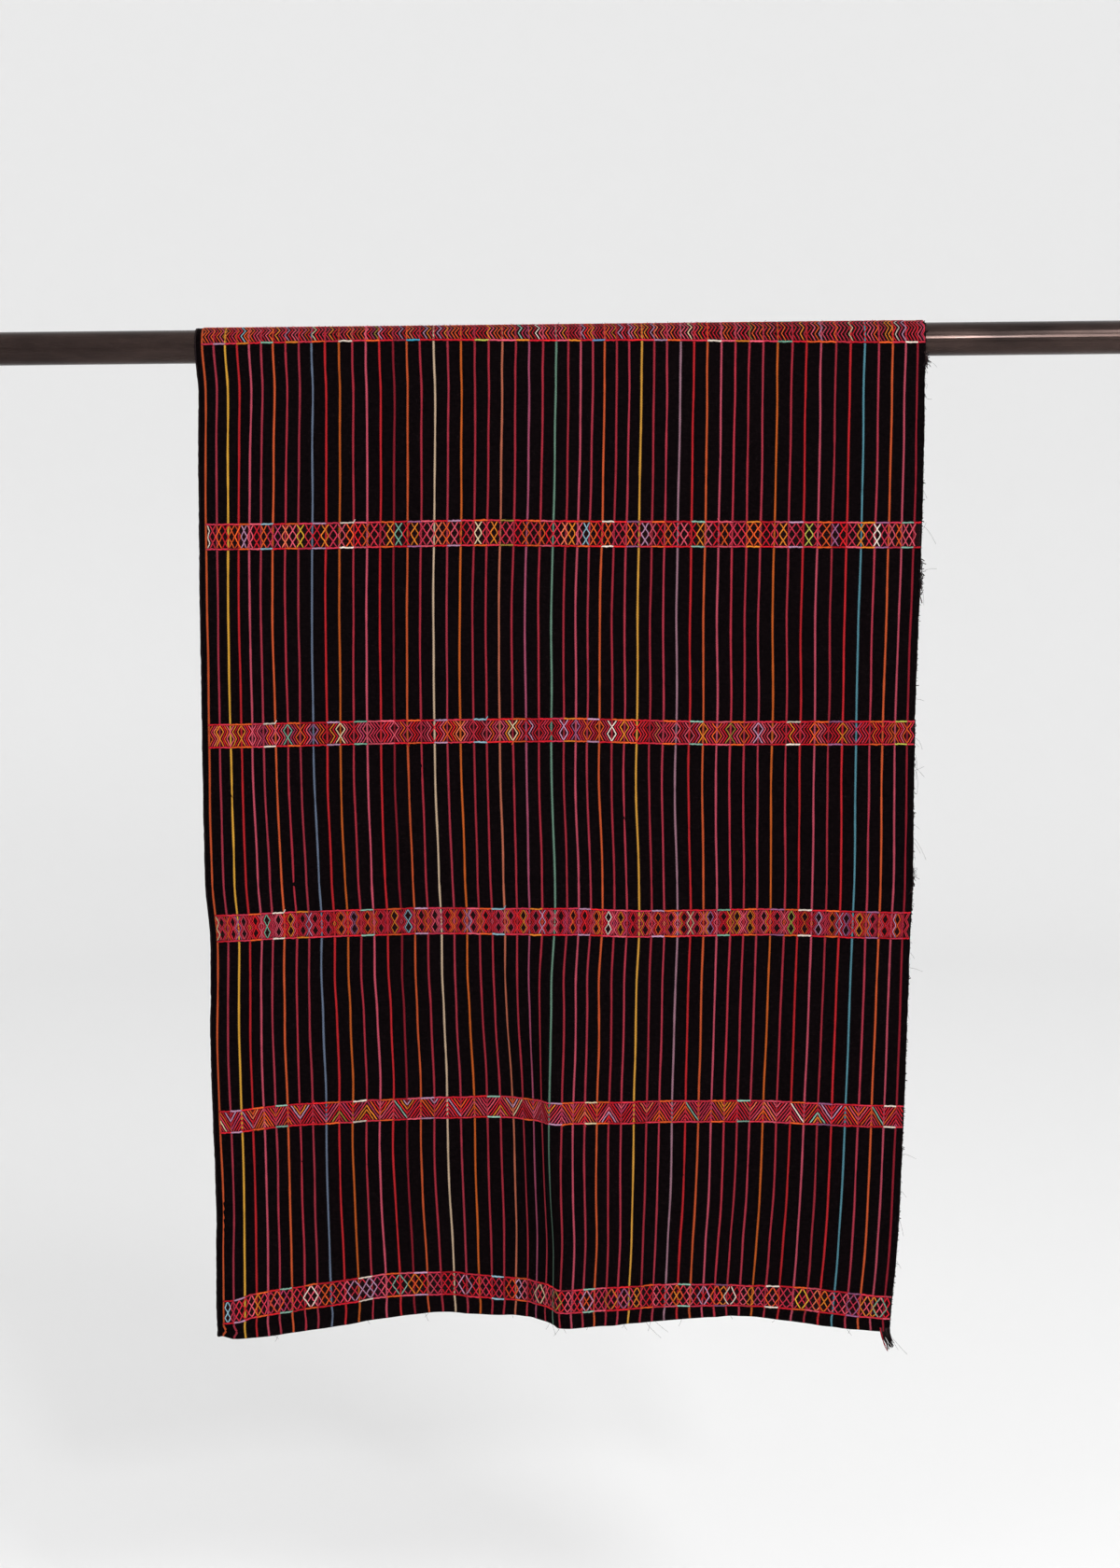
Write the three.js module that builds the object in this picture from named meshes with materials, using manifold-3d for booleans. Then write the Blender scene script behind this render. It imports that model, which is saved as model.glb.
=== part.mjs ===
import * as THREE from "three";
import { mergeVertices } from "three/addons/utils/BufferGeometryUtils.js";
import Module from "manifold-3d";

// A handwoven cloth hung over a round metal rod.
// Millimetres, +Z up, +X along the rod to the viewer's right, the viewer on the -Y side.
// The origin is the middle of the rod's axis.

// Driving dimensions
const ROD_DIAMETER = 33.4;
const ROD_LENGTH = 1200;
const ROD_END_CHAMFER = 1;
const CLOTH_WIDTH = 731;
const CLOTH_THICKNESS = 1.2;
const CLOTH_OFF_ROD = 0.4;
const FRONT_HANG = 1020;
const BACK_HANG = 989;
const PARTING_GAP = 0.3;
const TUFT = { width: 10, stripDepth: 2.5, strands: 11 };
const STRAND = {
  thickness: 0.6,
  shortest: 13,
  longest: 21,
  unevenness: 3,
  spread: 3,
  leanLeft: 1,
  leanRight: 7,
};

// The middle of the cloth's thickness lies on this radius over the rod.
const WRAP_RADIUS = ROD_DIAMETER / 2 + CLOTH_OFF_ROD + CLOTH_THICKNESS / 2;
const QUARTER_WRAP = (WRAP_RADIUS * Math.PI) / 2;

// A place on the cloth is given by two distances along it: across runs from its left edge,
// and path runs from the rod's top, positive down the front and negative down the back.
const FRONT_HEM = QUARTER_WRAP + FRONT_HANG;
const BACK_HEM = -(QUARTER_WRAP + BACK_HANG);

// Where the cloth's two edges are along X.
const EDGES = [
  { path: BACK_HEM, left: -360, right: 336 },
  { path: -600, left: -359, right: 355 },
  { path: -250, left: -357, right: 365 },
  { path: 0, left: -361, right: 371 },
  { path: 28, left: -361.2, right: 371 },
  { path: 70, left: -358.6, right: 370.2 },
  { path: 128, left: -360.2, right: 369.8 },
  { path: 258, left: -362.5, right: 366.9 },
  { path: 428, left: -364.5, right: 362 },
  { path: 568, left: -365.5, right: 361 },
  { path: 628, left: -361.5, right: 358.5 },
  { path: 748, left: -364.5, right: 355 },
  { path: 905, left: -362.9, right: 349 },
  { path: 958, left: -364.6, right: 346 },
  { path: FRONT_HEM, left: -365.6, right: 339 },
];

// How far the front panel's weft drops below level, at five places across it.
const SAG_PLACES = [0, 0.11, 0.3, 0.4, 0.5, 0.62, 0.75, 1];
const SAG = [
  { path: -30, by: [0, 0, 0, 0, 0, 0, 0, 0] },
  { path: 28, by: [1.2, 0.2, -0.9, 0, 1, 1.5, 3.4, 6.3] },
  { path: 218, by: [0, 0.2, -1, -1.4, 0.3, 1.8, 2.8, 5.4] },
  { path: 418, by: [2.3, 1.5, 0.2, 0, -0.2, 2.5, 5.1, 6] },
  { path: 618, by: [3.2, 0.3, -1.1, 0.4, -0.5, 3.3, 2.8, 6.8] },
  { path: 818, by: [6.6, -0.6, -2.7, -1.5, -4.3, 0.2, 2, 6.7] },
  { path: 1018, by: [11, 4.2, -10.5, -0.8, -0.8, 1.3, 3.2, 13.3] },
  { path: FRONT_HEM, by: [7.9, 1.4, -11.1, -4.8, -5, -4.8, -7, 5] },
];

// How far the front panel's warp strays to the right of an even spread, at nine places across it.
const STRAY_PLACES = [0, 0.1, 0.21, 0.32, 0.44, 0.53, 0.66, 0.82, 1];
const STRAY = [
  { path: 0, by: [0, 0.4, 1, 1.5, 2, 1.5, 0.8, 0, 0] },
  { path: 28, by: [0, 0.2, 1.2, 1.8, 2.9, 2.1, 0.8, -0.3, 0] },
  { path: 60, by: [0, -1, -0.5, 1, 1, 1, 0, -1, 0] },
  { path: 180, by: [0, -3, 0, 1, 0.5, 0, -0.5, -1, 0] },
  { path: 290, by: [0, -4.5, -1, 0, -1.5, -2, -0.5, -1, 0] },
  { path: 395, by: [0, -3, -0.8, 0.7, 0.2, -0.4, 1.8, 2.1, 0] },
  { path: 460, by: [0, -2.5, -1, 1.5, 1, -1, 0.5, 1.5, 0] },
  { path: 580, by: [0, 1, 1.5, 4.5, 3, 2.5, 3, 2, 0] },
  { path: 668, by: [0, -1.7, -0.3, 2.6, 2, 1, 4.6, 2.8, 0] },
  { path: 712, by: [0, -1.2, 2.2, 4.2, 3.3, 3.2, 5.8, 3.1, 0] },
  { path: 775, by: [0, -1, 2.9, 4.6, 5, 5.3, 8, 3.8, 0] },
  { path: 860, by: [0, -1, -0.3, 3.6, 5.8, 5.4, 9, 3.8, 0] },
  { path: 905, by: [0, -1.3, 0.6, 4.8, 6.8, 6.3, 8.6, 3.3, 0] },
  { path: 960, by: [0, 1, 4.2, 9.3, 9.7, 9.3, 8, 2, 0] },
  { path: FRONT_HEM, by: [0, 1.7, 8.5, 14.4, 10.8, 9.5, 9.3, 2, 0] },
];

// The front panel's soft waves at the hem, as depth towards the viewer.
const WAVES = [
  { across: 0, depth: 6 },
  { across: 35, depth: 12 },
  { across: 110, depth: 4 },
  { across: 180, depth: -8 },
  { across: 245, depth: -17 },
  { across: 300, depth: -15 },
  { across: 373, depth: -8 },
  { across: 415, depth: -5 },
  { across: 515, depth: 0 },
  { across: 570, depth: -6 },
  { across: 665, depth: 6 },
  { across: CLOTH_WIDTH, depth: 14 },
];
const WAVE_GROWTH = 1.5;

// The main fold is a ridge with a steep left side. Its places are measured from its crest.
const FOLD_CREST = 373;
const FOLD_LEAN = 0.057;
const FOLD = [
  { fromCrest: -128, depth: 0 },
  { fromCrest: -73, depth: -7 },
  { fromCrest: -54, depth: -3 },
  { fromCrest: -40, depth: 5 },
  { fromCrest: -26, depth: 12.5 },
  { fromCrest: -13, depth: 21.5 },
  { fromCrest: 0, depth: 30.8 },
  { fromCrest: 6, depth: 31.8 },
  { fromCrest: 22, depth: 28 },
  { fromCrest: 42, depth: 22 },
  { fromCrest: 142, depth: 0 },
];
const FOLD_GROWTH = [
  { path: 540, share: 0 },
  { path: 605, share: 0.22 },
  { path: 668, share: 0.6 },
  { path: 725, share: 0.78 },
  { path: 790, share: 0.98 },
  { path: 860, share: 1.03 },
  { path: FRONT_HEM, share: 1 },
];

// The back panel's shallower waves at its hem, as depth away from the viewer.
const BACK_WAVES = [
  { across: 0, depth: 5 },
  { across: 75, depth: -5 },
  { across: 175, depth: 4 },
  { across: 235, depth: -2 },
  { across: 315, depth: 7 },
  { across: 425, depth: -6 },
  { across: 525, depth: 4 },
  { across: 640, depth: -6 },
  { across: CLOTH_WIDTH, depth: 6 },
];

// Spacing of the faces
const ROD_SIDES = 48;
const WRAP_ROWS = 12;
const FRONT_ROWS = 18;
const BACK_ROWS = 9;
const WIDE_COLUMN = 25;
const FOLD_COLUMN = 8;
const FOLD_COLUMNS_FROM = 300;
const FOLD_COLUMNS_TO = 396;
const REACH_STEPS = 300;

const MATERIALS = {
  cloth: new THREE.MeshStandardMaterial({ color: 0x1a0d10, roughness: 0.95, metalness: 0 }),
  tuft: new THREE.MeshStandardMaterial({ color: 0x2b1b1d, roughness: 0.95, metalness: 0 }),
  rod: new THREE.MeshStandardMaterial({ color: 0x3a3230, roughness: 0.4, metalness: 0.85 }),
};

// Reads a table at a place between its rows, on a smooth line that never overshoots a row.
function follow(rows, placeName, place, valueOf) {
  const places = rows.map((row) => row[placeName]);
  const values = rows.map(valueOf);
  const last = rows.length - 1;
  if (place <= places[0]) return values[0];
  if (place >= places[last]) return values[last];
  const slope = (i) => (values[i + 1] - values[i]) / (places[i + 1] - places[i]);
  const tangent = (i) => {
    if (i === 0 || i === last || slope(i - 1) * slope(i) <= 0) return 0;
    return (2 * slope(i - 1) * slope(i)) / (slope(i - 1) + slope(i));
  };
  const i = places.findIndex((p) => p > place) - 1;
  const span = places[i + 1] - places[i];
  const t = (place - places[i]) / span;
  const rise = t * t * (3 - 2 * t);
  const startBend = t * (1 - t) * (1 - t) * span * tangent(i);
  const endBend = t * t * (1 - t) * span * tangent(i + 1);
  return values[i] + (values[i + 1] - values[i]) * rise + startBend - endBend;
}

// Reads a table with a row for each path and a column for each place across.
function acrossTable(places, rows, across, path) {
  const columns = places.map((place, i) => ({
    across: place * CLOTH_WIDTH,
    by: follow(rows, "path", path, (row) => row.by[i]),
  }));
  return follow(columns, "across", across, (column) => column.by);
}

// Depth away from the rod: towards the viewer on the front panel, and away from the viewer on the back.
function depthAt(across, path) {
  const hang = Math.max(0, Math.abs(path) - QUARTER_WRAP);
  const growth = Math.pow(hang / FRONT_HANG, WAVE_GROWTH);
  if (path < 0) return growth * follow(BACK_WAVES, "across", across, (row) => row.depth);
  const crest = FOLD_CREST - FOLD_LEAN * (FRONT_HEM - path);
  const fold = follow(FOLD, "fromCrest", across - crest, (row) => row.depth);
  const foldShare = follow(FOLD_GROWTH, "path", path, (row) => row.share);
  return growth * follow(WAVES, "across", across, (row) => row.depth) + foldShare * fold;
}

// How far each step of cloth reaches along X, since the folds turn part of it sideways.
const reachOfPath = new Map();
function reachAlong(path) {
  if (reachOfPath.has(path)) return reachOfPath.get(path);
  const step = CLOTH_WIDTH / REACH_STEPS;
  const reach = [0];
  for (let i = 1; i <= REACH_STEPS + 1; i++) {
    const rise = depthAt(i * step, path) - depthAt((i - 1) * step, path);
    reach.push(reach[i - 1] + Math.sqrt(step * step - rise * rise));
  }
  reachOfPath.set(path, reach);
  return reach;
}

function alongRod(across, path) {
  const reach = reachAlong(path);
  const place = (across / CLOTH_WIDTH) * REACH_STEPS;
  const i = THREE.MathUtils.clamp(Math.floor(place), 0, REACH_STEPS);
  const reached = reach[i] + (reach[i + 1] - reach[i]) * (place - i);
  const left = follow(EDGES, "path", path, (row) => row.left);
  const right = follow(EDGES, "path", path, (row) => row.right);
  const stray = acrossTable(STRAY_PLACES, STRAY, across, path);
  return left + ((right - left) * reached) / reach[REACH_STEPS] + stray;
}

// The point on the middle of the cloth's thickness.
function clothPoint(across, path) {
  const lowered = path + acrossTable(SAG_PLACES, SAG, across, path);
  const side = lowered < 0 ? 1 : -1;
  const away = depthAt(across, path);
  const hang = Math.abs(lowered) - QUARTER_WRAP;
  const x = alongRod(across, path);
  if (hang > 0) return new THREE.Vector3(x, side * (WRAP_RADIUS + away), -hang);
  const turn = lowered / WRAP_RADIUS;
  return new THREE.Vector3(x, -WRAP_RADIUS * Math.sin(turn), WRAP_RADIUS * Math.cos(turn));
}

function clothNormal(across, path) {
  const probe = 0.5;
  const downwards = clothPoint(across, path + probe).sub(clothPoint(across, path - probe));
  const sideways = clothPoint(across + probe, path).sub(clothPoint(across - probe, path));
  return downwards.cross(sideways).normalize();
}

// A closed sheet of the cloth's thickness over the given places across and along it.
function sheetGeometry(acrossPlaces, pathPlaces) {
  const outer = [];
  const inner = [];
  for (const path of pathPlaces) {
    for (const across of acrossPlaces) {
      const middle = clothPoint(across, path);
      const offset = clothNormal(across, path).multiplyScalar(CLOTH_THICKNESS / 2);
      outer.push(...middle.clone().add(offset).toArray());
      inner.push(...middle.clone().sub(offset).toArray());
    }
  }
  const columns = acrossPlaces.length;
  const rows = pathPlaces.length;
  const innerStart = columns * rows;
  const id = (row, column) => row * columns + column;
  const faces = [];
  for (let row = 0; row < rows - 1; row++) {
    for (let column = 0; column < columns - 1; column++) {
      const a = id(row, column);
      const b = id(row + 1, column);
      const c = id(row + 1, column + 1);
      const d = id(row, column + 1);
      faces.push(a, b, c, a, c, d);
      for (const corner of [a, c, b, a, d, c]) faces.push(corner + innerStart);
    }
  }
  const rim = [];
  for (let row = 0; row < rows - 1; row++) rim.push(id(row, 0));
  for (let column = 0; column < columns - 1; column++) rim.push(id(rows - 1, column));
  for (let row = rows - 1; row > 0; row--) rim.push(id(row, columns - 1));
  for (let column = columns - 1; column > 0; column--) rim.push(id(0, column));
  rim.forEach((from, i) => {
    const to = rim[(i + 1) % rim.length];
    faces.push(to, from, from + innerStart, to, from + innerStart, to + innerStart);
  });
  const geometry = new THREE.BufferGeometry();
  geometry.setAttribute("position", new THREE.Float32BufferAttribute([...outer, ...inner], 3));
  geometry.setIndex(faces);
  geometry.computeVertexNormals();
  return geometry;
}

function evenPlaces(from, to, count) {
  return Array.from({ length: count + 1 }, (_, i) => from + ((to - from) * i) / count);
}

function stretch(from, to, spacing) {
  return evenPlaces(from, to, Math.round((to - from) / spacing));
}

function clothGeometry() {
  const acrossPlaces = [
    ...stretch(0, FOLD_COLUMNS_FROM, WIDE_COLUMN).slice(0, -1),
    ...stretch(FOLD_COLUMNS_FROM, FOLD_COLUMNS_TO, FOLD_COLUMN),
    ...stretch(FOLD_COLUMNS_TO, CLOTH_WIDTH, WIDE_COLUMN).slice(1),
  ];
  const pathPlaces = [
    ...evenPlaces(BACK_HEM, -QUARTER_WRAP, BACK_ROWS).slice(0, -1),
    ...evenPlaces(-QUARTER_WRAP, QUARTER_WRAP, WRAP_ROWS),
    ...evenPlaces(QUARTER_WRAP, FRONT_HEM, FRONT_ROWS).slice(1),
  ];
  return sheetGeometry(acrossPlaces, pathPlaces);
}

// A plain round bar along X with chamfered ends.
function rodGeometry() {
  const radius = ROD_DIAMETER / 2;
  const end = ROD_LENGTH / 2;
  const profile = [
    new THREE.Vector2(0, -end),
    new THREE.Vector2(radius - ROD_END_CHAMFER, -end),
    new THREE.Vector2(radius, -end + ROD_END_CHAMFER),
    new THREE.Vector2(radius, end - ROD_END_CHAMFER),
    new THREE.Vector2(radius - ROD_END_CHAMFER, end),
    new THREE.Vector2(0, end),
  ];
  return new THREE.LatheGeometry(profile, ROD_SIDES).rotateZ(-Math.PI / 2);
}

// One loose warp end: a thin three-sided strand that leans to the right as it falls.
// The middle strands are the longest, and neighbours spread forwards and backwards in turn.
function strandGeometry(k) {
  const share = k / (TUFT.strands - 1);
  const across = CLOTH_WIDTH - TUFT.width + 1 + (TUFT.width - 2) * share;
  const root = clothPoint(across, FRONT_HEM + PARTING_GAP + TUFT.stripDepth / 2);
  const longer = (STRAND.longest - STRAND.shortest) * Math.sin(Math.PI * share);
  const fall = STRAND.shortest + longer - STRAND.unevenness * (k % 2);
  const lean = THREE.MathUtils.lerp(STRAND.leanLeft, STRAND.leanRight, share);
  const spread = STRAND.spread * ((k % 3) - 1);
  const along = (leanShare, spreadShare, fallShare) =>
    root.clone().add(new THREE.Vector3(lean * leanShare, spread * spreadShare, -fall * fallShare));
  const curve = new THREE.CatmullRomCurve3([
    root,
    along(0.2, 0.2, 0.35),
    along(0.7, 0.7, 0.7),
    along(1, 1, 1),
  ]);
  const section = new THREE.Shape(
    [90, 210, 330].map((degrees) => {
      const turn = THREE.MathUtils.degToRad(degrees);
      return new THREE.Vector2(Math.cos(turn), Math.sin(turn)).multiplyScalar(STRAND.thickness / 2);
    }),
  );
  return new THREE.ExtrudeGeometry(section, { steps: 6, bevelEnabled: false, extrudePath: curve });
}

const wasm = await Module();
wasm.setup();

function toManifold(geometry) {
  const bare = geometry.clone();
  bare.deleteAttribute("normal");
  bare.deleteAttribute("uv");
  const merged = mergeVertices(bare, 1e-4);
  const vertProperties = new Float32Array(merged.attributes.position.array);
  const triVerts = new Uint32Array(merged.index.array);
  return new wasm.Manifold(new wasm.Mesh({ numProp: 3, vertProperties, triVerts }));
}

function toGeometry(manifold) {
  const mesh = manifold.getMesh();
  const geometry = new THREE.BufferGeometry();
  geometry.setAttribute("position", new THREE.BufferAttribute(mesh.vertProperties, 3));
  geometry.setIndex(new THREE.BufferAttribute(mesh.triVerts, 1));
  geometry.computeVertexNormals();
  return geometry;
}

// The loose warp ends, joined by a narrow strip that is parted from the hem's corner.
function tuftGeometry() {
  const stripTop = FRONT_HEM + PARTING_GAP;
  const strip = sheetGeometry(
    evenPlaces(CLOTH_WIDTH - TUFT.width, CLOTH_WIDTH, 4),
    evenPlaces(stripTop, stripTop + TUFT.stripDepth, 1),
  );
  let tuft = toManifold(strip);
  for (let k = 0; k < TUFT.strands; k++) tuft = tuft.add(toManifold(strandGeometry(k)));
  return toGeometry(tuft);
}

function piece(name, geometry, material) {
  const mesh = new THREE.Mesh(geometry, material);
  mesh.name = name;
  return mesh;
}

const group = new THREE.Group();
group.add(piece("rod", rodGeometry(), MATERIALS.rod));
group.add(piece("cloth", clothGeometry(), MATERIALS.cloth));
group.add(piece("fray_tuft", tuftGeometry(), MATERIALS.tuft));

export default group;
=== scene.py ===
"""A handwoven skirt cloth hung over a dark metal rod: black cotton with bright warp stripes,
embroidered bands, a raw right edge and a frayed lower corner."""
import math

import bpy
import numpy as np
from mathutils import Matrix, Vector


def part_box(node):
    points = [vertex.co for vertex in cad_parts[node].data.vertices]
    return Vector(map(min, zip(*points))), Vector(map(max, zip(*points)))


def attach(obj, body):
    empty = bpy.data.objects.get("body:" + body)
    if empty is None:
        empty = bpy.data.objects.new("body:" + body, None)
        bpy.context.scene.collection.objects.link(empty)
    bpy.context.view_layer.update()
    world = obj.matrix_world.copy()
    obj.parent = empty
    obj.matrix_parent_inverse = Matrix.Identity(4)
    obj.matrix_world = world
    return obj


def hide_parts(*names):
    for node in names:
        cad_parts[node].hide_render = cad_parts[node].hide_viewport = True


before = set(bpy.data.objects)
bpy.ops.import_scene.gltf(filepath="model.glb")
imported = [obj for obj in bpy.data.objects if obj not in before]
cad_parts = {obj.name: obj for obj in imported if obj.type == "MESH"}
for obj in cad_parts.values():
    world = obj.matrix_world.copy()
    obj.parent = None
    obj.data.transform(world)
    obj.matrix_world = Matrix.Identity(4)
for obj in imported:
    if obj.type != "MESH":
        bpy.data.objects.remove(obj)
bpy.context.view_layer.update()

# Lengths on the cloth are in millimetres, and MM turns them into the frame's metres.
MM = 0.001
rod_low, rod_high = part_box("rod")
ROD_RADIUS = (rod_high.z - rod_low.z) / 2 / MM
CLOTH_WIDTH = 731
CLOTH_THICKNESS = 1.2
CLOTH_OFF_ROD = 0.4
FRONT_HANG = 1020
BACK_HANG = 989
WRAP_RADIUS = ROD_RADIUS + CLOTH_OFF_ROD + CLOTH_THICKNESS / 2
QUARTER_WRAP = WRAP_RADIUS * math.pi / 2
FACE = CLOTH_THICKNESS / 2

# A place on the cloth is given by two distances along it: across runs from its left edge,
# and path runs from the rod's top, positive down the front and negative down the back.
FRONT_HEM = QUARTER_WRAP + FRONT_HANG
BACK_HEM = -(QUARTER_WRAP + BACK_HANG)

# The shape in which the cloth hangs, as in the part's source.
EDGES = {
    "path": (BACK_HEM, -600, -250, 0, 28, 70, 128, 258, 428, 568, 628, 748, 905, 958, FRONT_HEM),
    "left": (-360, -359, -357, -361, -361.2, -358.6, -360.2, -362.5, -364.5, -365.5, -361.5, -364.5,
             -362.9, -364.6, -365.6),
    "right": (336, 355, 365, 371, 371, 370.2, 369.8, 366.9, 362, 361, 358.5, 355,
              349, 346, 339),
}
SAG_PLACES = (0, 0.11, 0.3, 0.4, 0.5, 0.62, 0.75, 1)
SAG = {
    -30: (0, 0, 0, 0, 0, 0, 0, 0),
    28: (1.2, 0.2, -0.9, 0, 1, 1.5, 3.4, 6.3),
    218: (0, 0.2, -1, -1.4, 0.3, 1.8, 2.8, 5.4),
    418: (2.3, 1.5, 0.2, 0, -0.2, 2.5, 5.1, 6),
    618: (3.2, 0.3, -1.1, 0.4, -0.5, 3.3, 2.8, 6.8),
    818: (6.6, -0.6, -2.7, -1.5, -4.3, 0.2, 2, 6.7),
    1018: (11, 4.2, -10.5, -0.8, -0.8, 1.3, 3.2, 13.3),
    FRONT_HEM: (7.9, 1.4, -11.1, -4.8, -5, -4.8, -7, 5),
}
STRAY_PLACES = (0, 0.1, 0.21, 0.32, 0.44, 0.53, 0.66, 0.82, 1)
STRAY = {
    0: (0, 0.4, 1, 1.5, 2, 1.5, 0.8, 0, 0),
    28: (0, 0.2, 1.2, 1.8, 2.9, 2.1, 0.8, -0.3, 0),
    60: (0, -1, -0.5, 1, 1, 1, 0, -1, 0),
    180: (0, -3, 0, 1, 0.5, 0, -0.5, -1, 0),
    290: (0, -4.5, -1, 0, -1.5, -2, -0.5, -1, 0),
    395: (0, -3, -0.8, 0.7, 0.2, -0.4, 1.8, 2.1, 0),
    460: (0, -2.5, -1, 1.5, 1, -1, 0.5, 1.5, 0),
    580: (0, 1, 1.5, 4.5, 3, 2.5, 3, 2, 0),
    668: (0, -1.7, -0.3, 2.6, 2, 1, 4.6, 2.8, 0),
    712: (0, -1.2, 2.2, 4.2, 3.3, 3.2, 5.8, 3.1, 0),
    775: (0, -1, 2.9, 4.6, 5, 5.3, 8, 3.8, 0),
    860: (0, -1, -0.3, 3.6, 5.8, 5.4, 9, 3.8, 0),
    905: (0, -1.3, 0.6, 4.8, 6.8, 6.3, 8.6, 3.3, 0),
    960: (0, 1, 4.2, 9.3, 9.7, 9.3, 8, 2, 0),
    FRONT_HEM: (0, 1.7, 8.5, 14.4, 10.8, 9.5, 9.3, 2, 0),
}
WAVES = {
    "across": (0, 35, 110, 180, 245, 300, 373, 415, 515, 570, 665, CLOTH_WIDTH),
    "depth": (6, 12, 4, -8, -17, -15, -8, -5, 0, -6, 6, 14),
}
WAVE_GROWTH = 1.5
FOLD_CREST = 373
FOLD_LEAN = 0.057
FOLD = {
    "from_crest": (-128, -73, -54, -40, -26, -13, 0, 6, 22, 42, 142),
    "depth": (0, -7, -3, 5, 12.5, 21.5, 30.8, 31.8, 28, 22, 0),
}
FOLD_GROWTH = {
    "path": (540, 605, 668, 725, 790, 860, FRONT_HEM),
    "share": (0, 0.22, 0.6, 0.78, 0.98, 1.03, 1),
}
BACK_WAVES = {
    "across": (0, 75, 175, 235, 315, 425, 525, 640, CLOTH_WIDTH),
    "depth": (5, -5, 4, -2, 7, -6, 4, -6, 6),
}
REACH_STEPS = 300

rng = np.random.default_rng(11)


def follow(places, values, at):
    """Reads a table between its rows, on a smooth line that never overshoots a row."""
    places = np.asarray(places, float)
    values = np.asarray(values, float)
    spans = np.diff(places)
    slopes = np.diff(values) / spans
    tangents = np.zeros_like(values)
    products = slopes[:-1] * slopes[1:]
    same_way = products > 0
    sums = np.where(same_way, slopes[:-1] + slopes[1:], 1)
    tangents[1:-1] = np.where(same_way, 2 * products / sums, 0)
    at = np.clip(np.asarray(at, float), places[0], places[-1])
    i = np.clip(np.searchsorted(places, at, side="right") - 1, 0, len(spans) - 1)
    t = (at - places[i]) / spans[i]
    rise = t * t * (3 - 2 * t)
    start_bend = t * (1 - t) ** 2 * spans[i] * tangents[i]
    end_bend = t * t * (1 - t) * spans[i] * tangents[i + 1]
    return values[i] + (values[i + 1] - values[i]) * rise + start_bend - end_bend


def across_table(places, rows, across, path):
    """Reads a table with a row for each path and a column for each place across."""
    columns = np.array(list(rows.values()), float).T
    at_path = [float(follow(list(rows), column, path)) for column in columns]
    return follow(np.array(places) * CLOTH_WIDTH, at_path, across)


def depth_at(across, path):
    """Depth away from the rod: towards the viewer in front, and away from the viewer behind."""
    hang = max(0, abs(path) - QUARTER_WRAP)
    growth = (hang / FRONT_HANG) ** WAVE_GROWTH
    if path < 0:
        return growth * follow(BACK_WAVES["across"], BACK_WAVES["depth"], across)
    crest = FOLD_CREST - FOLD_LEAN * (FRONT_HEM - path)
    fold = follow(FOLD["from_crest"], FOLD["depth"], across - crest)
    share = float(follow(FOLD_GROWTH["path"], FOLD_GROWTH["share"], path))
    return growth * follow(WAVES["across"], WAVES["depth"], across) + share * fold


def along_rod(across, path):
    """Where the cloth is along X: its folds turn part of it sideways."""
    steps = np.linspace(0, CLOTH_WIDTH, REACH_STEPS + 1)
    rises = np.diff(depth_at(steps, path))
    reach = np.concatenate([[0], np.cumsum(np.sqrt(steps[1] ** 2 - rises ** 2))])
    left = float(follow(EDGES["path"], EDGES["left"], path))
    right = float(follow(EDGES["path"], EDGES["right"], path))
    share = np.interp(across, steps, reach / reach[-1])
    return left + (right - left) * share + across_table(STRAY_PLACES, STRAY, across, path)


# Small uneven forms: warp puckers, a faint pressed crease, and the buckled lower left corner
PUCKERS = [
    # depth, length down the cloth, length across it, phase
    (0.50, 170, 61, 0.3),
    (0.35, 95, 37, 1.9),
    (0.22, 58, 23, 4.1),
    (0.30, 420, 29, 2.6),
]
CREASE = {"path": 578, "depth": 0.7, "half_width": 3.5}
CORNER = {
    "across": 12, "reach": 15, "shift": 5.0, "depth": 5.0, "from_hem": 9, "half_height": 6.5, "lift": 2.5,
}


def bump_shape(offset):
    """A soft bump that is 1 in its middle and 0 past one width from it."""
    return np.where(np.abs(offset) < 1, (1 - np.clip(offset ** 2, 0, 1)) ** 2, 0)


def small_forms(across, path):
    """Extra depth, sideways shift and lift at places along one row."""
    hang = max(0, abs(path) - QUARTER_WRAP)
    free = min(1, hang / 60)
    depth = np.zeros_like(across)
    for size, down, sideways, phase in PUCKERS:
        depth += size * np.sin(2 * math.pi * (across / sideways + math.sin(path / down + phase)) + phase)
    depth *= free
    depth += CREASE["depth"] * bump_shape((path - CREASE["path"]) / CREASE["half_width"])
    corner = bump_shape((path - FRONT_HEM + CORNER["from_hem"]) / CORNER["half_height"])
    corner = corner * bump_shape((across - CORNER["across"]) / CORNER["reach"])
    lift = CORNER["lift"] * bump_shape((across - 4) / 12) * bump_shape((path - FRONT_HEM) / 16)
    return depth + CORNER["depth"] * corner, CORNER["shift"] * corner, lift


def cloth_row(across, path):
    """Points on the middle of the cloth's thickness along one row."""
    lowered = path + across_table(SAG_PLACES, SAG, across, path)
    side = np.where(lowered < 0, 1, -1)
    hang = np.abs(lowered) - QUARTER_WRAP
    extra_depth, shift, lift = small_forms(across, path)
    away = depth_at(across, path) + extra_depth
    turn = lowered / WRAP_RADIUS
    y = np.where(hang > 0, side * (WRAP_RADIUS + away), -WRAP_RADIUS * np.sin(turn))
    z = np.where(hang > 0, -hang + lift, WRAP_RADIUS * np.cos(turn))
    return np.stack([along_rod(across, path) + shift, y, z], -1)


# The surface, worked out once on a fine grid that all pieces read
GRID_ACROSS = np.linspace(-1, CLOTH_WIDTH + 1, 490)
WRAP_REACH = QUARTER_WRAP + 8
GRID_PATH = np.concatenate([
    np.arange(BACK_HEM - 6, -WRAP_REACH, 2.5),
    np.arange(-WRAP_REACH, WRAP_REACH, 1.0),
    np.arange(WRAP_REACH, FRONT_HEM + 6, 2.5),
])


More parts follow.
